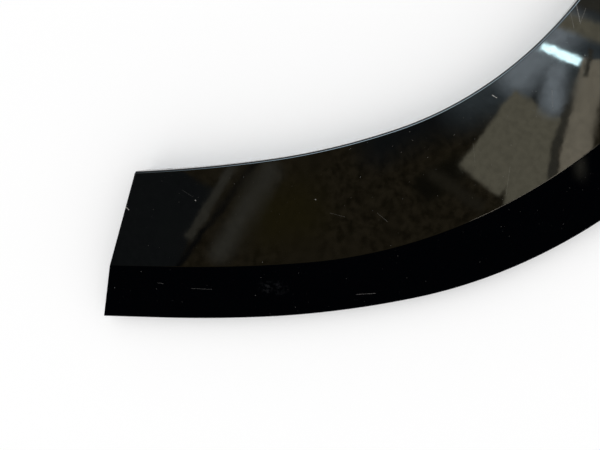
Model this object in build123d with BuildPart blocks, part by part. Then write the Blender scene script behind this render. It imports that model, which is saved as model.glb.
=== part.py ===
from build123d import *
import os
from math import cos, radians, sin, tan

# Wheel arch trim: one moulded arch with a wide face, a band that slopes back to the body,
# a return flange round the wheel opening, and the clips that hold it to the body.
# Sizes are in millimetres and angles in degrees. It lies face up: +Z points away from the
# body, +Y runs up to the crown, the arch is symmetric about X = 0 and its flange stands on
# Z = 0. The origin is the bottom centre of its bounding box.

# Edge of the wheel opening in plan, as tangent arcs from the crown down to one foot
crown_radius = 367.5
crown_turn = 61.3
shoulder_radius = 783.0
shoulder_turn = 10.75
leg_radius = 1775.0
leg_turn = 5.1
foot_slope = 7.2  # the cut end drops by this towards the outer edge

# Crease between face and band, drawn in the same way
face_width = 117.6  # at the crown
crease_crown_turn = 43.4
crease_shoulder_radius = 559.0
crease_shoulder_turn = 29.9
crease_leg_radius = 1657.0
crease_leg_turn = 5.5

# Outer edge against the body, drawn in the same way
trim_width = 185.4  # at the crown
outer_crown_turn = 65.6
outer_shoulder_radius = 1129.0
outer_shoulder_turn = 9.3
outer_leg_radius = 1869.0
outer_leg_turn = 3.75

# Section across the arch
trim_height = 42.0
wall = 3.0
band_drop = 23.0
lip_height = 4.0
lip_width = 4.0
flange_draft = 2.0
edge_radius = 3.0
crease_radius = 3.0
lip_chamfer = 1.1
crease_rib_width = 2.0
crease_rib_height = 7.0
crease_rib_inset = 5.0

# Cross ribs from the flange to the crease, and the end walls
rib_count = 13
rib_thickness = 2.0
rib_foot_margin = 60.0
rib_depth_at_flange = 24.0
rib_depth_at_crease = 7.0
end_wall = 3.0
end_notch_length = 15.0
end_notch_depth = 1.0

# Clip towers on the back of the band
clip_count = 10
clip_foot_margin = 45.0
clip_from_edge = 32.0
tower_length = 28.0
tower_width = 24.0
tower_wall = 2.0
tower_floor = 2.0
tower_roof = 0.6  # thickens the band above each clip

# Push-in clips with crossed, barbed blades, and their sealing rings
neck_width = 6.0
neck_clearance = 0.25
head_radius = 8.0
head_thickness = 1.6
head_sides = 8
collar_radius = 6.5
collar_thickness = 1.2
collar_play = 0.2
blade_thickness = 2.0
shank_radius = 2.6
barb_radius = 4.4
barb_count = 3
barb_land = 0.5
tip_radius = 1.2
tip_length = 2.5
seal_radius = 9.0
seal_thickness = 2.2
seal_clearance = 0.1

# Moulded locating pins on the back of the band, midway between two clips
pin_radius = 3.0
pin_reach = 10.0
pin_tip_radius = 1.2
pin_tip_length = 2.5
pin_boss_radius = 5.0
pin_boss_stop = 2.0  # the boss ends this far above the body side
pin_from_crown = 2  # clip pitches from the crown to each pin

# Square windows in the return flange for the wheel liner's fasteners
window_count = 6
window_size = 8.0
window_height = 12.0
window_foot_margin = 30.0

# Worked out from the sizes above
band_foot = trim_height - band_drop
seat_height = band_foot - lip_height
under_face = trim_height - wall
flange_lean = trim_height * tan(radians(flange_draft))
band_slope = band_drop / (trim_width - face_width)
band_wall = wall * (1 + band_slope**2) ** 0.5  # the band's wall, measured upright
back_shift = (wall - band_wall) / band_slope  # from the crease to the angle behind it
overrun = trim_width  # the lines run on past the foot, and the cut end ends them
opening = (
    0,
    (crown_radius, shoulder_radius, leg_radius),
    (crown_turn, shoulder_turn, leg_turn),
)
crease = (
    face_width,
    (crown_radius + face_width, crease_shoulder_radius, crease_leg_radius),
    (crease_crown_turn, crease_shoulder_turn, crease_leg_turn),
)
outer = (
    trim_width,
    (crown_radius + trim_width, outer_shoulder_radius, outer_leg_radius),
    (outer_crown_turn, outer_shoulder_turn, outer_leg_turn),
)


def trace(line, shift=0.0, top=0.0):
    """Draws one line of the +X half from the crown, moved across the arch by a shift."""
    from_opening, radii, turns = line
    spot, way = Vector(0, top + from_opening + shift), Vector(1, 0)
    arcs = []
    for radius, turn in zip(radii, turns):
        arcs.append(JernArc(spot, way, radius + shift, -turn))
        spot, way = arcs[-1] @ 1, arcs[-1] % 1
    arcs.append(Line(spot, spot + way * overrun))
    return arcs


# The cut end, with the top of the wheel opening at Y = 0 until the bounding box is known
with BuildLine() as opening_draft:
    foot_run = sum(arc.length for arc in trace(opening)[:3])
with BuildLine() as outer_draft:
    trace(outer)
foot_spot = opening_draft.wire().position_at(foot_run / opening_draft.wire().length)
foot_way = Vector(cos(radians(foot_slope)), -sin(radians(foot_slope)), 0)
outer_spot = Vector(*outer_draft.wire().intersect(Axis(foot_spot, foot_way))[0])
foot_reach = (outer_spot - foot_spot).length
opening_top = -(trim_width + outer_spot.Y) / 2
foot_spot = foot_spot + Vector(0, opening_top, 0)

with BuildLine() as opening_line:
    trace(opening, top=opening_top)
with BuildLine() as crease_line:
    trace(crease, top=opening_top)
with BuildLine() as outer_line:
    trace(outer, top=opening_top)

opening_edge = opening_line.wire()
crease_edge = crease_line.wire()
outer_edge = outer_line.wire()


def plan(level, near, near_shift, far, far_shift):
    """The +X half between two lines of the arch, as a face at a height."""
    with BuildSketch(Plane.XY.offset(level)) as region:
        with BuildLine():
            near_arcs = trace(near, near_shift, opening_top)
            far_arcs = trace(far, far_shift, opening_top)
            Line(near_arcs[0] @ 0, far_arcs[0] @ 0)
            Line(near_arcs[-1] @ 1, far_arcs[-1] @ 1)
        make_face()
    return region.sketch


def point_at(run):
    """The point on the opening's edge at a run from the crown, positive on the +X side."""
    spot = opening_edge.position_at(abs(run) / opening_edge.length)
    return Vector(spot.X if run >= 0 else -spot.X, spot.Y, 0)


def along_at(run):
    """The direction along the edge there."""
    way = opening_edge.tangent_at(abs(run) / opening_edge.length)
    return Vector(way.X, way.Y if run >= 0 else -way.Y, 0)


def across_at(run):
    """The direction across the arch there, away from the wheel."""
    way = along_at(run)
    return Vector(-way.Y, way.X, 0)


def section_plane(run):
    """A square section: local X runs across the arch from the opening's edge, local Y is up."""
    return Plane(origin=point_at(run), x_dir=across_at(run), z_dir=along_at(run))


def band_back(run, across):
    """Height of the band's inner surface at a distance across the arch."""
    start = Vertex(*point_at(abs(run)))
    face, trim = crease_edge.distance_to(start), outer_edge.distance_to(start)
    slope = band_drop / (trim - face)
    return trim_height - (across - face) * slope - wall * (1 + slope**2) ** 0.5


def clip_across(run):
    """How far a clip's or a pin's centre is from the opening's edge."""
    return outer_edge.distance_to(Vertex(*point_at(abs(run)))) - clip_from_edge


def clip_place(run):
    """The body side of the band at that centre, with local X across the arch."""
    centre = point_at(run) + across_at(run) * clip_across(run)
    return Plane(origin=centre + Vector(0, 0, seat_height), x_dir=across_at(run))


def on_line(some, line):
    """Those edges whose middle lies on a line."""
    return some.filter_by(lambda edge: line.distance_to(Vertex(*(edge @ 0.5))) < 0.01)


def spread(count, margin):
    """Runs of evenly spaced places, from a margin short of one foot to the other."""
    reach = foot_run - margin
    return [reach * (2 * i / (count - 1) - 1) for i in range(count)]


def half_of(runs):
    """Those on the +X half, which is modelled and then mirrored."""
    return [run for run in runs if run > -rib_thickness]


clip_runs = spread(clip_count, clip_foot_margin)
clip_pitch = clip_runs[1] - clip_runs[0]
pin_run = pin_from_crown * clip_pitch
cut_end = Plane(
    origin=foot_spot, x_dir=foot_way, z_dir=Vector(foot_way.Y, -foot_way.X, 0)
)  # local X runs across the arch, local Z points out of the part

# What stands behind the face: cross ribs, the end wall, clip towers and the pin's boss
with BuildPart() as backing:
    for run in half_of(spread(rib_count, rib_foot_margin)):
        face = crease_edge.distance_to(Vertex(*point_at(abs(run))))
        far = face - crease_rib_inset - crease_rib_width / 2
        with BuildSketch(section_plane(run)):
            with BuildLine():
                Polyline(
                    (0, under_face - rib_depth_at_flange),
                    (wall, under_face - rib_depth_at_flange),
                    (far, under_face - rib_depth_at_crease),
                    (far, trim_height),
                    (0, trim_height),
                    close=True,
                )
            make_face()
        extrude(amount=rib_thickness / 2, both=True)
    with BuildSketch(cut_end):
        with Locations((foot_reach / 2, 0)):
            Rectangle(foot_reach * 1.5, 2 * trim_height)
    extrude(amount=-end_wall)
    for run in half_of(clip_runs):
        with BuildSketch(clip_place(run)):
            Rectangle(tower_width, tower_length)
        extrude(amount=trim_height - seat_height)
    with BuildSketch(clip_place(pin_run).offset(pin_boss_stop)):
        Circle(pin_boss_radius)
    extrude(amount=trim_height - seat_height - pin_boss_stop)

# It is trimmed by the middle of the wall, so that it fuses with the wall all round
core_foot = band_foot - wall / 2
core_top = trim_height - wall / 2
with BuildPart() as core:
    loft(
        [
            plan(core_foot, opening, wall / 2, outer, -lip_width / 2),
            plan(core_top, opening, wall / 2, crease, 0),
        ],
        ruled=True,
    )
    depth = core_foot - seat_height
    extrude(plan(seat_height, opening, wall / 2, outer, -lip_width / 2), amount=depth)
    add(backing.part, mode=Mode.INTERSECT)
    # Each tower is hollow above its floor, with a keyhole slot for the clip's neck
    for run in half_of(clip_runs):
        centre = clip_across(run)
        near = centre - tower_width / 2 - wall
        far = centre + tower_width / 2 - tower_wall
        floor_top = seat_height + tower_floor
        with BuildSketch(section_plane(run)):
            with BuildLine():
                Polyline(
                    (near, floor_top),
                    (far, floor_top),
                    (far, band_back(run, far) - tower_roof),
                    (near, band_back(run, near) - tower_roof),
                    close=True,
                )
            make_face()
        extrude(amount=tower_length / 2 - tower_wall, both=True, mode=Mode.SUBTRACT)
        slot = neck_width + 2 * neck_clearance
        with BuildSketch(clip_place(run).offset(-wall)):
            with Locations((slot / 2, 0)):
                Rectangle(tower_width, slot, align=(Align.MAX, Align.CENTER))
        extrude(amount=wall + tower_floor, mode=Mode.SUBTRACT)

with BuildPart() as pin:
    shank_end = pin_tip_length - pin_reach
    with BuildSketch(clip_place(pin_run).offset(shank_end)):
        Circle(pin_radius)
    extrude(amount=pin_boss_stop - shank_end)
    with BuildSketch(clip_place(pin_run).offset(shank_end)):
        Circle(pin_radius)
    with BuildSketch(clip_place(pin_run).offset(-pin_reach)):
        Circle(pin_tip_radius)
    loft()

# The space under the face and the band, inside the lip
back_foot = band_foot - band_wall
with BuildPart() as space:
    loft(
        [
            plan(back_foot, opening, wall / 2, outer, 0),
            plan(under_face, opening, wall / 2, crease, back_shift),
        ],
        ruled=True,
    )
    extrude(plan(0, opening, wall / 2, outer, 0), amount=back_foot)
    extrude(
        plan(0, outer, -lip_width, outer, lip_width), amount=trim_height, mode=Mode.SUBTRACT
    )

# The +X half of the moulding
with BuildPart() as half:
    loft(
        [
            plan(seat_height, opening, wall / 2, outer, 0),
            plan(band_foot - lip_chamfer, opening, wall / 2, outer, 0),
            plan(band_foot + lip_chamfer * band_slope, opening, wall / 2, outer, -lip_chamfer),
            plan(trim_height, opening, wall / 2, crease, 0),
        ],
        ruled=True,
    )
    add(space.part, mode=Mode.SUBTRACT)
    loft(
        [
            plan(0, opening, -flange_lean, opening, wall - flange_lean),
            plan(trim_height, opening, 0, opening, wall),
        ],
        ruled=True,
    )
    with BuildSketch(cut_end):
        with Locations((foot_reach / 2, 0)):
            Rectangle(foot_reach * 1.5, 3 * trim_height)
    extrude(amount=3 * overrun, mode=Mode.SUBTRACT)
    for line, radius in ((opening_edge, edge_radius), (crease_edge, crease_radius)):
        fillet(on_line(edges(), line.moved(Location((0, 0, trim_height)))), radius)
    add(core.part)
    add(pin.part)
    extrude(
        plan(
            under_face - crease_rib_height,
            crease,
            -crease_rib_inset - crease_rib_width,
            crease,
            -crease_rib_inset,
        ),
        amount=crease_rib_height + wall / 2,
    )
    # The cut end, and a shallow step beside its inner corner
    with BuildSketch(cut_end):
        with Locations((foot_reach / 2, 0)):
            Rectangle(foot_reach * 1.5, 3 * trim_height)
    extrude(amount=3 * overrun, mode=Mode.SUBTRACT)
    with BuildSketch(cut_end):
        Rectangle(end_notch_length * 2, 3 * trim_height)
    extrude(amount=-end_notch_depth, mode=Mode.SUBTRACT)
    for run in half_of(spread(window_count, window_foot_margin)):
        middle = point_at(run) + Vector(0, 0, window_height)
        with BuildSketch(Plane(origin=middle, x_dir=along_at(run), z_dir=across_at(run))):
            Rectangle(window_size, window_size)
        extrude(amount=wall + flange_lean, both=True, mode=Mode.SUBTRACT)

with BuildPart() as moulding:
    add(half.part)
    mirror(about=Plane.YZ)

# One push-in clip, with its origin on the body side of the trim
blade_top = -collar_play - collar_thickness
first_barb = blade_top - seal_thickness
last_barb = tip_length - seat_height
barb_pitch = (first_barb - last_barb) / barb_count
with BuildPart() as clip:
    with BuildSketch(Plane.XY.offset(tower_floor)):
        RegularPolygon(head_radius, head_sides)
    extrude(amount=head_thickness)
    with BuildSketch(Plane.XY.offset(blade_top)):
        Rectangle(neck_width, neck_width)
    extrude(amount=tower_floor - blade_top)
    with BuildSketch(Plane.XY.offset(blade_top)):
        RegularPolygon(collar_radius, head_sides)
    extrude(amount=collar_thickness)
    with BuildSketch(Plane.XY.offset(first_barb)):
        Rectangle(2 * shank_radius, 2 * shank_radius)
    extrude(amount=seal_thickness)
    for blade in (Plane.XZ, Plane.YZ):
        with BuildSketch(blade):
            with BuildLine():
                for i in range(barb_count):
                    barb_top = first_barb - i * barb_pitch
                    Polyline(
                        (shank_radius, barb_top),
                        (barb_radius, barb_top),
                        (barb_radius, barb_top - barb_land),
                        (shank_radius, barb_top - barb_pitch),
                    )
                Polyline((shank_radius, last_barb), (tip_radius, -seat_height), (0, -seat_height))
                Polyline((0, first_barb), (shank_radius, first_barb))
                mirror(about=Plane.YZ)
            make_face()
        extrude(amount=blade_thickness / 2, both=True)

with BuildPart() as seal:
    hole = 2 * (shank_radius + seal_clearance)
    with BuildSketch(Plane.XY.offset(first_barb)):
        Circle(seal_radius)
        Rectangle(hole, hole, mode=Mode.SUBTRACT)
    extrude(amount=seal_thickness)

with BuildPart() as clips:
    with Locations(*[clip_place(run) for run in clip_runs]):
        add(clip.part)

with BuildPart() as seals:
    with Locations(*[clip_place(run) for run in clip_runs]):
        add(seal.part)

os.makedirs("parts", exist_ok=True)
moulding.part.label = "arch_moulding"
export_step(moulding.part, "parts/arch_moulding.step")
clips.part.label = "body_clips"
export_step(clips.part, "parts/body_clips.step")
seals.part.label = "clip_seals"
export_step(seals.part, "parts/clip_seals.step")
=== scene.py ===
import math
import bmesh
import bpy
import numpy as np
from mathutils import Matrix, Vector


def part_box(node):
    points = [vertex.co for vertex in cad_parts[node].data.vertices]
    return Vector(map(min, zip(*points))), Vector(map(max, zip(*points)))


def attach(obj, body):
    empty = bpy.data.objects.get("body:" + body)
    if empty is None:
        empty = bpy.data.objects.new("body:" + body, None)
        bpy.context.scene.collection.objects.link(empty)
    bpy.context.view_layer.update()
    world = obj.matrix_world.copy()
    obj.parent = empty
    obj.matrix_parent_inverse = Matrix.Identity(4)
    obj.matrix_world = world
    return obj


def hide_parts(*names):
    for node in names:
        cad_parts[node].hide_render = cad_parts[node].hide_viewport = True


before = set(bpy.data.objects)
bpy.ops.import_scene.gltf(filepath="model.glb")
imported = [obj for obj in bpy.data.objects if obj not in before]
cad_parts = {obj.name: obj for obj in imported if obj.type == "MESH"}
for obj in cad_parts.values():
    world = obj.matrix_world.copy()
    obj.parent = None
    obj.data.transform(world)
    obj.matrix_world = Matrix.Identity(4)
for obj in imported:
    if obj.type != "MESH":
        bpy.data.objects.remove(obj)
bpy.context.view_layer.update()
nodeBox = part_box("arch_moulding")
print("frame loaded")

rad = math.radians

photo = {"width": 600, "height": 450}  # pixel places below are read in a picture of this size

# The camera looks down on the +X leg, as the photograph does
view = {
    "place": (0.335792, 0.025738, 0.820076),
    "right": (-0.175088, 0.963412, -0.202930),
    "up": (-0.975018, -0.198284, -0.100112),
    "forward": (0.136687, -0.180332, -0.974062),
    "lens": 43.2,
    "sensor": 36.0,
}
camData = bpy.data.cameras.new("camera")
camData.lens = view["lens"]
camData.sensor_width = view["sensor"]
camData.clip_start = 0.01
camera = bpy.data.objects.new("camera", camData)
bpy.context.scene.collection.objects.link(camera)
turn = Matrix((view["right"], view["up"], [-v for v in view["forward"]])).transposed()
camera.matrix_world = Matrix.Translation(view["place"]) @ turn.to_4x4()
bpy.context.scene.camera = camera
bpy.context.scene.view_settings.view_transform = "Standard"


def throughPixel(x, y):
    # The direction in which the camera sees a pixel of the photograph
    scale = view["sensor"] / view["lens"] / photo["width"]
    aside, above = (x - photo["width"] / 2) * scale, (photo["height"] / 2 - y) * scale
    way = Vector(view["forward"]) + aside * Vector(view["right"]) + above * Vector(view["up"])
    return way.normalized()


def onPart(pixel, height):
    # The place on the part, along X and Y, that a pixel shows at a height
    way = throughPixel(*pixel)
    spot = Vector(view["place"]) + way * ((height - view["place"][2]) / way.z)
    return spot.x, spot.y


def mirroredAt(pixel):
    # Where the flat face, seen at a pixel, looks up to: the lean from straight up along X and Y
    way = throughPixel(*pixel)
    return -way.x / way.z, -way.y / way.z

# Sizes of the arch, as in the solids: three lines of tangent arcs, and the section
arch = {
    "radii": (0.3675, 0.783, 1.775),
    "turns": (61.3, 10.75, 5.1),
    "footSlope": 7.2,
    "faceWidth": 0.1176,
    "creaseRadii": (0.4851, 0.559, 1.657),
    "creaseTurns": (43.4, 29.9, 5.5),
    "trimWidth": 0.1854,
    "outerRadii": (0.5529, 1.129, 1.869),
    "outerTurns": (65.6, 9.3, 3.75),
    "height": 0.042,
    "wall": 0.003,
    "bandDrop": 0.023,
    "lipHeight": 0.004,
    "lipWidth": 0.004,
    "draft": 2.0,
    "edgeRadius": 0.003,
    "creaseRadius": 0.003,
    "lipRadius": 0.0014,
    "brokenEdge": 0.0003,
    "creaseRibInset": 0.005,
    "creaseRibWidth": 0.002,
    "creaseRibHeight": 0.007,
    "endWall": 0.003,
}
bandFoot = arch["height"] - arch["bandDrop"]
seat = bandFoot - arch["lipHeight"]
under = arch["height"] - arch["wall"]
lean = arch["height"] * math.tan(rad(arch["draft"]))
openingTop = nodeBox[1][1] - arch["trimWidth"]


def lineParts(top, radii, turns):
    # Each arc of a line as centre, radius, first angle, last angle and first run.
    spot, angle, run, parts = np.array([0.0, top]), 0.0, 0.0, []
    for radius, turnBy in zip(radii, turns):
        centre = spot - radius * np.array([math.sin(angle), math.cos(angle)])
        last = angle + rad(turnBy)
        parts.append((centre, radius, angle, last, run))
        spot = centre + radius * np.array([math.sin(last), math.cos(last)])
        run += radius * (last - angle)
        angle = last
    return parts, spot, angle, run


openingArcs, footSpot, footAngle, footRun = lineParts(openingTop, arch["radii"], arch["turns"])
footAcross = np.array([math.sin(footAngle), math.cos(footAngle)])
footAlong = np.array([math.cos(footAngle), -math.sin(footAngle)])
skew = 1 / math.tan(footAngle - rad(arch["footSlope"]))


def unrolled(fromOpening, radii, turns):
    # A line of the arch as run and distance across, measured square from the opening.
    arcs, spot, angle, _ = lineParts(openingTop + fromOpening, radii, turns)
    points = []
    for centre, radius, first, last, _ in arcs:
        for a in np.linspace(first, last, 500):
            points.append(centre + radius * np.array([math.sin(a), math.cos(a)]))
    for s in np.linspace(0.001, 0.19, 100):
        points.append(spot + s * np.array([math.cos(angle), -math.sin(angle)]))
    runs, across = [], []
    for point in points:
        for centre, radius, first, last, run in openingArcs:
            way = point - centre
            a = math.atan2(way[0], way[1])
            if a <= last:
                runs.append(run + radius * (a - first))
                across.append(math.hypot(way[0], way[1]) - radius)
                break
        else:
            runs.append(footRun + float((point - footSpot) @ footAlong))
            across.append(float((point - footSpot) @ footAcross))
    return np.array(runs), np.array(across)


creaseLine = unrolled(arch["faceWidth"], arch["creaseRadii"], arch["creaseTurns"])
outerLine = unrolled(arch["trimWidth"], arch["outerRadii"], arch["outerTurns"])


def widthAt(line, run):
    return float(np.interp(abs(run), line[0], line[1]))


def bandBack(face, trim, across):
    slope = arch["bandDrop"] / (trim - face)
    return arch["height"] - (across - face) * slope - arch["wall"] * math.hypot(1, slope)


def rounded(before, corner, after, radius, steps):
    # The arc that rounds one corner of a section.
    corner = np.array(corner, float)
    a = np.array(before, float) - corner
    b = np.array(after, float) - corner
    a, b = a / np.linalg.norm(a), b / np.linalg.norm(b)
    half = math.acos(max(-1.0, min(1.0, float(a @ b)))) / 2
    middle = (a + b) / np.linalg.norm(a + b)
    centre = corner + middle * radius / math.sin(half)
    start = corner + a * radius / math.tan(half) - centre
    side = corner + b * radius / math.tan(half) - centre
    sweep = math.pi - 2 * half
    points = []
    for i in range(steps + 1):
        t = i / steps
        blend = math.sin((1 - t) * sweep) * start + math.sin(t * sweep) * side
        points.append(centre + blend / math.sin(sweep))
    return points


def between(first, last, shares):
    first, last = np.array(first, float), np.array(last, float)
    return [first + (last - first) * s for s in shares]


# Where points stand between the rounded corners, closer together next to them
shares = {
    "flange": (0.02, 0.25, 0.5, 0.75, 0.97),
    "face": (0.003, 0.02, 0.06, 0.12, 0.2, 0.3, 0.4, 0.5, 0.6, 0.7, 0.8, 0.9, 0.97, 0.997),
    "band": (0.006, 0.04, 0.15, 0.3, 0.45, 0.6, 0.75, 0.9, 0.99),
    "lip": (0.1, 0.9),
}


def sectionAt(face, trim):
    # The closed section as points across and up: the outer skin first, then the back.
    h = arch["height"]
    inside = trim - arch["lipWidth"]
    corners = [(-lean, 0), (0, h), (face, h), (trim, bandFoot), (trim, seat), (inside, seat)]
    base = rounded((arch["wall"] - lean, 0), corners[0], corners[1], arch["brokenEdge"], 2)
    edge = rounded(corners[0], corners[1], corners[2], arch["edgeRadius"], 10)
    crease = rounded(corners[1], corners[2], corners[3], arch["creaseRadius"], 6)
    lip = rounded(corners[2], corners[3], corners[4], arch["lipRadius"], 6)
    heel = rounded(corners[3], corners[4], corners[5], arch["brokenEdge"], 2)
    outer = list(base)
    outer += between(base[-1], edge[0], shares["flange"])
    outer += edge
    outer += between(edge[-1], crease[0], shares["face"])
    outer += crease
    outer += between(crease[-1], lip[0], shares["band"])
    outer += lip
    outer += between(lip[-1], heel[0], shares["lip"])
    outer += heel
    slope = arch["bandDrop"] / (trim - face)
    behind = face + (arch["wall"] - arch["wall"] * math.hypot(1, slope)) / slope
    ribFar = face - arch["creaseRibInset"]
    ribNear, ribFoot = ribFar - arch["creaseRibWidth"], under - arch["creaseRibHeight"]
    back = [(inside, seat), (inside, bandBack(face, trim, inside)), (behind, under)]
    back += [(ribFar, under), (ribFar, ribFoot), (ribNear, ribFoot), (ribNear, under)]
    back += [(arch["wall"] + 0.001, under), (arch["wall"] - lean * (1 - under / h), under - 0.001)]
    back += [(arch["wall"] - lean * (1 - seat / h), seat), (arch["wall"] - lean, 0)]
    return outer, back


def stationRuns():
    # Runs along the opening from foot to foot, closer together at the cut ends.
    ends = np.array([0, 0.0003, 0.0012, 0.003, 0.006])
    middle = np.arange(0.010, footRun, 0.005)
    right = footRun - np.concatenate([ends, middle])
    right = right[right > 0.0025]
    return np.concatenate([-right, [0.0], right[::-1]])


def sheared(run, across):
    # Near a foot the stations lean over until the last one lies along the cut end
    reach = 0.16
    share = min(max((abs(run) - (footRun - reach)) / reach, 0), 1)
    return run + math.copysign(across * skew * share, run)


def station(run):
    face, trim = widthAt(creaseLine, run), widthAt(outerLine, run)
    for _ in range(6):
        face = widthAt(creaseLine, sheared(run, face))
        trim = widthAt(outerLine, sheared(run, trim))
    return sectionAt(face, trim)


stations = stationRuns()
sections = [station(run) for run in stations]
outerCount, backCount = len(sections[0][0]), len(sections[0][1])
ringCount = outerCount + backCount
verts = []
for run, (outer, back) in zip(stations, sections):
    verts += [(sheared(run, y), y, z) for y, z in outer + back]
wallStation = int(np.argmin(abs(stations + footRun - arch["endWall"] * 1.07)))
lastStation = len(stations) - 1
shoulderPoint = outerCount + backCount - 2  # on the flange's inside, level with the seat


def at(j, k):
    return j * ringCount + k


faces, backMark = [], []
for j in range(lastStation):
    insideWall = j < wallStation or j >= lastStation - wallStation
    for k in range(ringCount):
        nextK = (k + 1) % ringCount
        if insideWall and outerCount <= k < shoulderPoint:
            continue
        faces.append((at(j, k), at(j + 1, k), at(j + 1, nextK), at(j, nextK)))
        backMark.append(k >= outerCount - 1)
    if insideWall:
        heelEnds = (at(j, outerCount), at(j + 1, outerCount))
        faces.append(heelEnds + (at(j + 1, shoulderPoint), at(j, shoulderPoint)))
        backMark.append(True)
hollowLoop = list(range(outerCount, shoulderPoint + 1))
for j, flip in ((wallStation, False), (lastStation - wallStation, True)):
    loop = [at(j, k) for k in hollowLoop]
    faces.append(loop if flip else loop[::-1])
    backMark.append(True)
capLoop = list(range(outerCount + 1)) + [shoulderPoint, shoulderPoint + 1]
for j, flip in ((0, False), (lastStation, True)):
    loop = [at(j, k) for k in capLoop]
    faces.append(loop[::-1] if flip else loop)
    backMark.append(False)
print("skin", len(verts), "points", len(faces), "faces")


def meshOf(name, points, polygons):
    mesh = bpy.data.meshes.new(name)
    mesh.from_pydata([tuple(p) for p in points], [], [tuple(f) for f in polygons])
    mesh.validate()
    return mesh


def linked(name, mesh):
    thing = bpy.data.objects.new(name, mesh)
    bpy.context.scene.collection.objects.link(thing)
    return thing


# What stands behind the face, drawn flat: x is the run, y is across, z is up
extraVerts, extraFaces = [], []


def prism(polygon, axis, low, high):
    # A closed solid from a polygon across one axis, added to what stands behind the face.
    start = len(extraVerts)
    count = len(polygon)
    for level in (low, high):
        for a, b in polygon:
            extraVerts.append({"x": (level, a, b), "z": (a, b, level)}[axis])
    loop = list(range(start, start + count))
    upper = [i + count for i in loop]
    extraFaces.append(loop[::-1])
    extraFaces.append(upper)
    for i in range(count):
        n = (i + 1) % count
        extraFaces.append((loop[i], loop[n], upper[n], upper[i]))


def spread(count, margin):
    reach = footRun - margin
    return [reach * (2 * i / (count - 1) - 1) for i in range(count)]


sunk = 0.001  # how far these pieces reach into the wall that carries them
ribs = {"count": 13, "margin": 0.060, "thickness": 0.002, "atFlange": 0.024, "atCrease": 0.007}
for run in spread(ribs["count"], ribs["margin"]):
    far = widthAt(creaseLine, run) - 0.006
    near, foot = 0.0015, under - ribs["atFlange"]
    shape = [(0.0012, foot), (arch["wall"], foot), (far, under - ribs["atCrease"])]
    shape += [(far, under + sunk), (near, under + sunk)]
    prism(shape, "x", run - ribs["thickness"] / 2, run + ribs["thickness"] / 2)

towers = {
    "count": 10,
    "margin": 0.045,
    "fromEdge": 0.032,
    "length": 0.028,
    "width": 0.024,
    "wall": 0.002,
    "floor": 0.002,
    "slot": 0.0065,
    "sunk": 0.0015,
}
towerRuns = spread(towers["count"], towers["margin"])
for run in towerRuns:
    face, trim = widthAt(creaseLine, run), widthAt(outerLine, run)
    centre = trim - towers["fromEdge"]
    near, far = centre - towers["width"] / 2, centre + towers["width"] / 2
    x0, x1 = run - towers["length"] / 2, run + towers["length"] / 2
    w, gap = towers["wall"], towers["slot"] / 2
    topAt = {y: bandBack(face, trim, y) + towers["sunk"] for y in (near, far - w, far)}
    sideWall = [(near, seat), (far - w, seat), (far - w, topAt[far - w]), (near, topAt[near])]
    for a, b in ((x0, x0 + w), (x1 - w, x1)):
        prism(sideWall, "x", a, b)
    farWall = [(far - w, seat), (far, seat), (far, topAt[far]), (far - w, topAt[far - w])]
    prism(farWall, "x", x0, x1)
    floorShape = [(x0 + w, near), (run - gap, near), (run - gap, centre + gap), (run + gap, centre + gap)]
    floorShape += [(run + gap, near), (x1 - w, near), (x1 - w, far - w), (x0 + w, far - w)]
    prism(floorShape, "z", seat, seat + towers["floor"])

pins = {
    "pitches": 2,
    "radius": 0.003,
    "reach": 0.010,
    "tipRadius": 0.0012,
    "tipLength": 0.0025,
    "bossRadius": 0.005,
    "bossStop": 0.002,
    "sides": 40,
}
pinRun = pins["pitches"] * (towerRuns[1] - towerRuns[0])
for run in (-pinRun, pinRun):
    face, trim = widthAt(creaseLine, run), widthAt(outerLine, run)
    centre = trim - towers["fromEdge"]
    ease, tip = arch["brokenEdge"], seat - pins["reach"]
    shoulder, boss = tip + pins["tipLength"], seat + pins["bossStop"]
    profile = [(pins["tipRadius"] - ease, tip), (pins["tipRadius"], tip + ease)]
    profile += [(pins["radius"] - 0.0001, shoulder), (pins["radius"], shoulder + ease)]
    profile += [(pins["radius"], boss)]
    profile += [(pins["bossRadius"] - ease, boss), (pins["bossRadius"], boss + ease)]
    sides, start = pins["sides"], len(extraVerts)
    turns = [2 * math.pi * i / sides for i in range(sides)]
    for radius, z in profile:
        extraVerts.extend((run + radius * math.cos(a), centre + radius * math.sin(a), z) for a in turns)
    for a in turns:  # the boss ends in the band's back, which slopes
        y = centre + pins["bossRadius"] * math.sin(a)
        extraVerts.append((run + pins["bossRadius"] * math.cos(a), y, bandBack(face, trim, y) + sunk))
    extraFaces.append([start + i for i in range(sides)][::-1])
    for r in range(len(profile)):
        low, high = start + r * sides, start + (r + 1) * sides
        for i in range(sides):
            n = (i + 1) % sides
            extraFaces.append((low + i, low + n, high + n, high + i))
    extraFaces.append([start + len(profile) * sides + i for i in range(sides)])

flat = meshOf("moulding flat", verts, faces)
marks = flat.attributes.new("backSide", "BOOLEAN", "FACE")
marks.data.foreach_set("value", backMark)
moulding = linked("moulding", flat)

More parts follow.
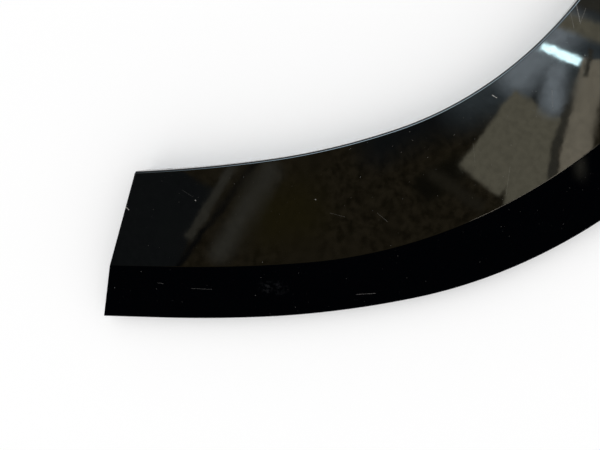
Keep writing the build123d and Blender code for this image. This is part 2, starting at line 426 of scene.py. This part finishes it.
# Windows in the flange and the step at the cut ends are cut out while the arch lies flat
cutVerts, cutFaces = extraVerts, extraFaces
extraVerts, extraFaces = [], []
windows = {"count": 6, "margin": 0.030, "size": 0.008, "height": 0.012}
for run in spread(windows["count"], windows["margin"]):
    half = windows["size"] / 2
    z0, z1 = windows["height"] - half, windows["height"] + half
    prism([(-0.004, z0), (0.005, z0), (0.005, z1), (-0.004, z1)], "x", run - half, run + half)
notch = {"length": 0.015, "depth": 0.001}
for side in (-1, 1):
    wide = notch["length"] * math.cos(math.atan(skew))
    shape = []
    for y, ahead in ((-0.006, -notch["depth"]), (wide, -notch["depth"]), (wide, 0.02), (-0.006, 0.02)):
        shape.append((side * (footRun + ahead * math.hypot(1, skew) + y * skew), y))
    prism(shape if side > 0 else shape[::-1], "z", -0.01, 0.06)
cutter = linked("cutter", meshOf("cutter", extraVerts, extraFaces))
extraVerts, extraFaces = cutVerts, cutFaces
cut = moulding.modifiers.new("cut", "BOOLEAN")
cut.operation = "DIFFERENCE"
cut.solver = "EXACT"
cut.object = cutter
deps = bpy.context.evaluated_depsgraph_get()
cutMesh = bpy.data.meshes.new_from_object(
    moulding.evaluated_get(deps), preserve_all_data_layers=True, depsgraph=deps
)
moulding.modifiers.remove(cut)
bpy.data.objects.remove(cutter)
behind = meshOf("behind", extraVerts, extraFaces)
whole = bmesh.new()
whole.from_mesh(cutMesh)
behindStart = len(whole.faces)
whole.from_mesh(behind)
whole.faces.ensure_lookup_table()
layer = whole.faces.layers.bool.get("backSide")
for face in whole.faces[behindStart:]:
    face[layer] = True
flatMesh = bpy.data.meshes.new("moulding flat")
whole.to_mesh(flatMesh)
whole.free()
moulding.data = flatMesh
print("flat moulding", len(flatMesh.vertices), "points")


def calc(tree, operation, *values):
    # One step of arithmetic, in a node tree of either kind
    node = tree.nodes.new("ShaderNodeMath")
    node.operation = operation
    for socket, value in zip(node.inputs, values):
        if isinstance(value, (int, float)):
            socket.default_value = value
        else:
            tree.links.new(value, socket)
    return node.outputs[0]


def ranged(tree, value, low, high, toLow=0.0, toHigh=1.0):
    node = tree.nodes.new("ShaderNodeMapRange")
    node.interpolation_type = "SMOOTHSTEP"
    tree.links.new(value, node.inputs["Value"])
    for socket, number in zip(node.inputs[1:5], (low, high, toLow, toHigh)):
        socket.default_value = number
    return node.outputs["Result"]


def mixed(tree, share, first, second):
    node = tree.nodes.new("ShaderNodeMix")
    node.data_type = "RGBA"
    for label, value in (("Factor", share), ("A", first), ("B", second)):
        socket = node.inputs[label]
        if isinstance(value, tuple):
            socket.default_value = value + (1,)
        elif isinstance(value, (int, float)):
            socket.default_value = value
        else:
            tree.links.new(value, socket)
    return node.outputs["Result"]


def speckle(tree, place, scale, detail=2.0, rough=0.5):
    node = tree.nodes.new("ShaderNodeTexNoise")
    tree.links.new(place, node.inputs["Vector"])
    node.inputs["Scale"].default_value = scale
    node.inputs["Detail"].default_value = detail
    node.inputs["Roughness"].default_value = rough
    return node.outputs["Fac"]


def strip(tree, x, y, start, end, width, soft):
    # 1 inside a straight strip of a flat picture, fading over the soft edge
    long = math.dist(start, end)
    alongX, alongY = (end[0] - start[0]) / long, (end[1] - start[1]) / long
    middle = [(a + b) / 2 for a, b in zip(start, end)]
    offX, offY = calc(tree, "SUBTRACT", x, middle[0]), calc(tree, "SUBTRACT", y, middle[1])
    along = calc(tree, "ADD", calc(tree, "MULTIPLY", offX, alongX), calc(tree, "MULTIPLY", offY, alongY))
    aside = calc(tree, "SUBTRACT", calc(tree, "MULTIPLY", offY, alongX), calc(tree, "MULTIPLY", offX, alongY))
    inLength = ranged(tree, calc(tree, "ABSOLUTE", along), long / 2 - soft / 2, long / 2 + soft / 2, 1, 0)
    inWidth = ranged(tree, calc(tree, "ABSOLUTE", aside), width / 2 - soft / 2, width / 2 + soft / 2, 1, 0)
    return calc(tree, "MULTIPLY", inLength, inWidth)


def bendTree(name, material, backMaterial):
    # A node tree that bends what lies along x round the wheel opening's tangent arcs.
    tree = bpy.data.node_groups.new(name, "GeometryNodeTree")
    tree.interface.new_socket(name="Geometry", in_out="INPUT", socket_type="NodeSocketGeometry")
    labels = [part + kind for part in ("crown", "shoulder", "leg") for kind in ("Radius", "Turn")]
    for label in labels + ["openingTop"]:
        tree.interface.new_socket(name=label, in_out="INPUT", socket_type="NodeSocketFloat")
    tree.interface.new_socket(name="Geometry", in_out="OUTPUT", socket_type="NodeSocketGeometry")
    start, end = tree.nodes.new("NodeGroupInput"), tree.nodes.new("NodeGroupOutput")
    place = tree.nodes.new("GeometryNodeInputPosition")
    split = tree.nodes.new("ShaderNodeSeparateXYZ")
    tree.links.new(place.outputs[0], split.inputs[0])

    run, across = split.outputs["X"], split.outputs["Y"]
    left, x, y, lastAngle = calc(tree, "ABSOLUTE", run), 0.0, start.outputs["openingTop"], 0.0
    for part in ("crown", "shoulder", "leg"):
        radius = start.outputs[part + "Radius"]
        arcTurn = calc(tree, "RADIANS", start.outputs[part + "Turn"])
        length = calc(tree, "MULTIPLY", radius, arcTurn)
        used = calc(tree, "MINIMUM", left, length)
        left = calc(tree, "SUBTRACT", left, used)
        angle = calc(tree, "ADD", lastAngle, calc(tree, "DIVIDE", used, radius))
        sines = calc(tree, "SUBTRACT", calc(tree, "SINE", angle), calc(tree, "SINE", lastAngle))
        cosines = calc(tree, "SUBTRACT", calc(tree, "COSINE", lastAngle), calc(tree, "COSINE", angle))
        x = calc(tree, "ADD", x, calc(tree, "MULTIPLY", radius, sines))
        y = calc(tree, "SUBTRACT", y, calc(tree, "MULTIPLY", radius, cosines))
        lastAngle = angle
    x = calc(tree, "ADD", x, calc(tree, "MULTIPLY", left, calc(tree, "COSINE", lastAngle)))
    y = calc(tree, "SUBTRACT", y, calc(tree, "MULTIPLY", left, calc(tree, "SINE", lastAngle)))
    x = calc(tree, "ADD", x, calc(tree, "MULTIPLY", across, calc(tree, "SINE", lastAngle)))
    y = calc(tree, "ADD", y, calc(tree, "MULTIPLY", across, calc(tree, "COSINE", lastAngle)))
    x = calc(tree, "MULTIPLY", x, calc(tree, "SIGN", run))
    join = tree.nodes.new("ShaderNodeCombineXYZ")
    for socket, value in zip(join.inputs, (x, y, split.outputs["Z"])):
        tree.links.new(value, socket)
    move = tree.nodes.new("GeometryNodeSetPosition")
    tree.links.new(start.outputs["Geometry"], move.inputs["Geometry"])
    tree.links.new(join.outputs[0], move.inputs["Position"])
    real = tree.nodes.new("GeometryNodeRealizeInstances")
    tree.links.new(move.outputs[0], real.inputs[0])
    last = real.outputs[0]
    mark = tree.nodes.new("GeometryNodeInputNamedAttribute")
    mark.data_type = "BOOLEAN"
    mark.inputs["Name"].default_value = "backSide"
    for chosen, selected in ((material, False), (backMaterial, True)):
        paint = tree.nodes.new("GeometryNodeSetMaterial")
        paint.inputs["Material"].default_value = chosen
        if selected:
            tree.links.new(mark.outputs["Attribute"], paint.inputs["Selection"])
        tree.links.new(last, paint.inputs["Geometry"])
        last = paint.outputs[0]
    tree.links.new(last, end.inputs["Geometry"])
    return tree


def bent(thing, tree):
    # Applies the bend and leaves a plain mesh.
    modifier = thing.modifiers.new("bend along arch", "NODES")
    modifier.node_group = tree
    values = {"openingTop": openingTop}
    for part, radius, arcTurn in zip(("crown", "shoulder", "leg"), arch["radii"], arch["turns"]):
        values[part + "Radius"] = radius
        values[part + "Turn"] = arcTurn
    for item in tree.interface.items_tree:
        if item.in_out == "INPUT" and item.name in values:
            modifier[item.identifier] = values[item.name]
    deps = bpy.context.evaluated_depsgraph_get()
    mesh = bpy.data.meshes.new_from_object(
        thing.evaluated_get(deps), preserve_all_data_layers=True, depsgraph=deps
    )
    thing.modifiers.remove(modifier)
    thing.data = mesh
    return mesh


def blank(name):
    material = bpy.data.materials.new(name)
    material.use_nodes = True
    tree = material.node_tree
    split = tree.nodes.new("ShaderNodeSeparateXYZ")
    spot = tree.nodes.new("ShaderNodeTexCoord").outputs["Object"]
    tree.links.new(spot, split.inputs[0])
    return material, tree, tree.nodes["Principled BSDF"], spot, split.outputs


def bumped(tree, shader, height, distance, strength=1.0):
    bump = tree.nodes.new("ShaderNodeBump")
    bump.inputs["Distance"].default_value = distance
    bump.inputs["Strength"].default_value = strength
    tree.links.new(height, bump.inputs["Height"])
    tree.links.new(bump.outputs[0], shader.inputs["Normal"])


# Gloss black skin: near-black gloss with dust, fine scratches and a wiped smudge
gloss = {
    "colour": (0.0003, 0.0004, 0.0006),
    "roughness": 0.025,
    "dust": (0.30, 0.28, 0.25),
    "scratch": (0.55, 0.53, 0.50),
    "heights": {"face": 0.042, "band": 0.036, "bandFoot": 0.034},
    "scratches": (  # start and end in the photograph, where, width, and how strong
        ((126, 207), (129, 210), "face", 0.0008, 0.7),
        ((157, 283), (163, 284), "band", 0.0004, 0.14),
        ((190, 289), (211, 290), "band", 0.0004, 0.12),
        ((355, 296), (375, 295), "bandFoot", 0.0005, 0.17),
        ((182, 190), (193, 197), "face", 0.0003, 0.06),
        ((377, 213), (388, 222), "face", 0.0003, 0.12),
        ((330, 213), (345, 217), "face", 0.0003, 0.10),
        ((492, 95), (497, 98), "face", 0.0008, 0.5),
        ((552, 90), (553, 110), "face", 0.0004, 0.12),
        ((473, 143), (475, 163), "face", 0.0003, 0.10),
        ((510, 167), (506, 196), "face", 0.0003, 0.10),
        ((576, 3), (580, 22), "face", 0.0006, 0.25),
        ((570, 10), (574, 28), "face", 0.0004, 0.16),
        ((580, 24), (586, 8), "face", 0.0004, 0.16),
        ((195, 200), (196, 201), "face", 0.0009, 0.6),
        ((315, 199), (316, 200), "face", 0.0009, 0.6),
    ),
    "smudge": ((260, 288), (285, 288), "bandFoot", 0.012),
}
glossBlack, tree, shader, spot, axes = blank("glossBlack")
cells = tree.nodes.new("ShaderNodeTexVoronoi")
tree.links.new(spot, cells.inputs["Vector"])
cells.inputs["Scale"].default_value = 210
tint = tree.nodes.new("ShaderNodeSeparateColor")
tree.links.new(cells.outputs["Color"], tint.inputs[0])
dot = ranged(tree, cells.outputs["Distance"], 0.04, 0.10, 1, 0)
few = ranged(tree, tint.outputs["Red"], 0.5, 0.95)
dirty = ranged(tree, speckle(tree, spot, 9, 3), 0.38, 0.66, 0.25, 1)
dust = calc(tree, "MULTIPLY", calc(tree, "MULTIPLY", dot, few), dirty)
bright = calc(tree, "MULTIPLY", dust, ranged(tree, tint.outputs["Green"], 0.3, 1, 0.10, 0.75))
colour = mixed(tree, bright, gloss["colour"], gloss["dust"])
broken = ranged(tree, speckle(tree, spot, 700, 2), 0.35, 0.6, 0.4, 1)
worn = None
for start, end, where, width, strength in gloss["scratches"]:
    start, end = (onPart(pixel, gloss["heights"][where]) for pixel in (start, end))
    line = strip(tree, axes["X"], axes["Y"], start, end, width, width * 0.8)
    line = calc(tree, "MULTIPLY", calc(tree, "MULTIPLY", line, strength), broken)
    worn = line if worn is None else calc(tree, "MAXIMUM", worn, line)
outside = ranged(tree, axes["Z"], 0.0225, 0.024)
worn = calc(tree, "MULTIPLY", worn, outside)
colour = mixed(tree, worn, colour, gloss["scratch"])
start, end, where, width = gloss["smudge"]
start, end = (onPart(pixel, gloss["heights"][where]) for pixel in (start, end))
smudge = strip(tree, axes["X"], axes["Y"], start, end, width, width)
smudge = calc(tree, "MULTIPLY", smudge, ranged(tree, speckle(tree, spot, 260, 4), 0.45, 0.75, 0, 0.014))
colour = mixed(tree, smudge, colour, (0.6, 0.6, 0.62))
tree.links.new(colour, shader.inputs["Base Color"])
matt = ranged(tree, speckle(tree, spot, 14, 4), 0.42, 0.8, gloss["roughness"], gloss["roughness"] + 0.06)
matt = calc(tree, "ADD", matt, calc(tree, "MULTIPLY", calc(tree, "MAXIMUM", dust, worn), 0.5))
tree.links.new(matt, shader.inputs["Roughness"])
shader.inputs["IOR"].default_value = 1.5
fineWaves = calc(tree, "MULTIPLY", speckle(tree, spot, 60, 2), 0.05)
waves = calc(tree, "ADD", speckle(tree, spot, 11, 1), fineWaves)
bumped(tree, shader, waves, 0.00022)

# The same plastic as it leaves the mould, on the side against the body
mouldedBack, tree, shader, spot, axes = blank("mouldedBack")
grime = ranged(tree, speckle(tree, spot, 22, 5), 0.35, 0.7)
tree.links.new(mixed(tree, grime, (0.010, 0.010, 0.011), (0.024, 0.022, 0.020)), shader.inputs["Base Color"])
tree.links.new(ranged(tree, speckle(tree, spot, 40, 3), 0.3, 0.7, 0.32, 0.5), shader.inputs["Roughness"])
bumped(tree, shader, speckle(tree, spot, 900, 2), 0.00008)

mouldingMesh = bent(moulding, bendTree("bend along arch", glossBlack, mouldedBack))
check = bmesh.new()
check.from_mesh(mouldingMesh)
openEdges = sum(1 for e in check.edges if len(e.link_faces) != 2)
bmesh.ops.recalc_face_normals(check, faces=check.faces)
check.to_mesh(mouldingMesh)
check.free()
mouldingMesh.shade_smooth()
mouldingMesh.set_sharp_from_angle(angle=rad(24))
print("moulding", len(mouldingMesh.polygons), "faces,", openEdges, "open edges")
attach(moulding, "root")
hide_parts("arch_moulding")

# Clips in dull moulded nylon, and rubber sealing rings
clipNylon, tree, shader, spot, axes = blank("clipNylon")
grime = ranged(tree, speckle(tree, spot, 150, 5), 0.35, 0.7)
tree.links.new(mixed(tree, grime, (0.030, 0.030, 0.032), (0.060, 0.057, 0.052)), shader.inputs["Base Color"])
tree.links.new(ranged(tree, speckle(tree, spot, 300, 3), 0.3, 0.7, 0.38, 0.55), shader.inputs["Roughness"])
bumped(tree, shader, speckle(tree, spot, 1500, 3), 0.00005)
sealRubber, tree, shader, spot, axes = blank("sealRubber")
grime = ranged(tree, speckle(tree, spot, 400, 5), 0.4, 0.75)
tree.links.new(mixed(tree, grime, (0.014, 0.014, 0.014), (0.035, 0.034, 0.032)), shader.inputs["Base Color"])
shader.inputs["Roughness"].default_value = 0.82
bumped(tree, shader, speckle(tree, spot, 2400, 4), 0.00012)
for name, material in (("body_clips", clipNylon), ("clip_seals", sealRubber)):
    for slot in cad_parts[name].material_slots:
        slot.material = material
print("clips and seals dressed")

# White floor that keeps the soft shadow
floorMesh = meshOf("floor", [(-6, -6, 0), (6, -6, 0), (6, 6, 0), (-6, 6, 0)], [(0, 1, 2, 3)])
floor = linked("floor", floorMesh)
floorPaper = bpy.data.materials.new("floorPaper")
floorPaper.use_nodes = True
tree = floorPaper.node_tree
shader = tree.nodes["Principled BSDF"]
shader.inputs["Base Color"].default_value = (0.86, 0.86, 0.86, 1)
shader.inputs["Roughness"].default_value = 1
shader.inputs["Specular IOR Level"].default_value = 0
seen = tree.nodes.new("ShaderNodeLightPath").outputs
seenAny = calc(tree, "MAXIMUM", seen["Is Glossy Ray"], seen["Is Transmission Ray"])
seenAny = calc(tree, "MAXIMUM", seen["Is Camera Ray"], seenAny)
tree.links.new(calc(tree, "MULTIPLY", seenAny, 0.14), shader.inputs["Emission Strength"])
shader.inputs["Emission Color"].default_value = (1, 1, 1, 1)
floorMesh.materials.append(floorPaper)

# Studio: white all round, and above it a ceiling with soft panels that the gloss shows.
# The ceiling is drawn flat: how far each direction leans from straight up, along X and Y.
shades = {
    "dark": (0.03, 0.03, 0.03),
    "slate": (0.085, 0.095, 0.095),
    "olive": (0.20, 0.16, 0.05),
    "umber": (0.07, 0.06, 0.03),
    "felt": (0.22, 0.19, 0.12),
    "plaster": (0.45, 0.43, 0.34),
    "dusk": (0.50, 0.62, 0.68),
    "concrete": (1.6, 1.5, 1.1),
    "lime": (2.6, 2.35, 1.8),
    "daylight": (2.6, 3.0, 3.3),
    "lamp": (6.5, 6.0, 5.0),
    "tube": (22.0, 31.0, 33.0),
    "sky": (11.0, 14.0, 16.0),
}
ceiling = (  # start and end where the face mirrors them in the photograph, width, softness, shade
    ((250, 225), (320, 200), 0.085, 0.070, "olive"),
    ((274, 163), (216, 260), 0.026, 0.026, "plaster"),
    ((150, 150), (90, 270), 0.235, 0.006, "slate"),
    ((239, 152), (189, 240), 0.013, 0.005, "plaster"),
    ((266, 150), (175, 270), 0.0085, 0.003, "dark"),
    ((358, 143), (469, 97), 0.075, 0.050, "slate"),
    ((418, 194), (461, 166), 0.036, 0.020, "umber"),
    ((430, 172), (484, 209), 0.014, 0.012, "felt"),
    ((446, 95), (639, 31), 0.085, 0.060, "dusk"),
    ((507, 84), (574, 14), 0.050, 0.040, "daylight"),
    ((479, 183), (539, 103), 0.071, 0.008, "concrete"),
    ((525, 210), (545, 112), 0.052, 0.006, "concrete"),
    ((553, 111), (559, 64), 0.022, 0.020, "daylight"),
    ((595, 61), (567, 195), 0.034, 0.006, "lime"),
    ((569, 101), (547, 192), 0.011, 0.006, "plaster"),
    ((556, 18), (608, 36), 0.022, 0.012, "concrete"),
    ((572, -7), (633, 18), 0.018, 0.010, "plaster"),
    ((591, 49), (583, 80), 0.006, 0.003, "plaster"),
    ((540, 47), (579, 64), 0.0105, 0.005, "tube"),
)
creaseLamp = ((0.240, 0.160), (0.080, 0.340), 0.120, 0.030, "lamp")
skyEdge = ((-0.85, -0.60), (-0.75, 0.70), 0.75, 0.35, "sky")
bandPanel = ((0.50, 0.832), (0.55, 0.838), 0.018, 0.060, "plaster")
world = bpy.data.worlds.new("studio")
bpy.context.scene.world = world
world.use_nodes = True
tree = world.node_tree
way = tree.nodes.new("ShaderNodeTexCoord").outputs["Generated"]
parts = tree.nodes.new("ShaderNodeSeparateXYZ")
tree.links.new(way, parts.inputs[0])
up = calc(tree, "MAXIMUM", parts.outputs["Z"], 0.05)
leanX, leanY = (calc(tree, "DIVIDE", parts.outputs[axis], up) for axis in "XY")
flatWay = tree.nodes.new("ShaderNodeCombineXYZ")
tree.links.new(leanX, flatWay.inputs[0])
tree.links.new(leanY, flatWay.inputs[1])
flatWay = flatWay.outputs[0]
ripple = calc(tree, "MULTIPLY", calc(tree, "SUBTRACT", speckle(tree, flatWay, 60, 4), 0.5), 0.007)
rippleX = calc(tree, "ADD", leanX, ripple)
rippleY = calc(tree, "ADD", leanY, ripple)
cloth = ranged(tree, speckle(tree, flatWay, 85, 7, 0.7), 0.38, 0.60)
colour = mixed(tree, cloth, (0.09, 0.07, 0.03), (0.25, 0.20, 0.11))
panels = [(mirroredAt(start), mirroredAt(end), *rest) for start, end, *rest in ceiling]
for start, end, width, soft, shade in panels + [creaseLamp]:
    share = strip(tree, rippleX, rippleY, start, end, width, soft)
    colour = mixed(tree, share, colour, shades[shade])
grain = ranged(tree, speckle(tree, flatWay, 110, 7, 0.7), 0.34, 0.62, 0.84, 1.10)
scaled = tree.nodes.new("ShaderNodeVectorMath")
scaled.operation = "SCALE"
tree.links.new(colour, scaled.inputs[0])
tree.links.new(grain, scaled.inputs["Scale"])
leaning = calc(tree, "SQRT", calc(tree, "ADD", calc(tree, "POWER", leanX, 2), calc(tree, "POWER", leanY, 2)))
colour = mixed(tree, ranged(tree, leaning, 0.50, 0.60), scaled.outputs[0], (0.003, 0.004, 0.008))
for start, end, width, soft, shade in (skyEdge, bandPanel):
    colour = mixed(tree, strip(tree, leanX, leanY, start, end, width, soft), colour, shades[shade])
colour = mixed(tree, ranged(tree, parts.outputs["Z"], 0.16, 0.26), (1.0, 1.0, 1.0), colour)
seen = tree.nodes.new("ShaderNodeLightPath").outputs
colour = mixed(tree, seen["Is Glossy Ray"], (1.0, 1.0, 1.0), colour)
tree.links.new(colour, tree.nodes["Background"].inputs["Color"])
print("stage ready")
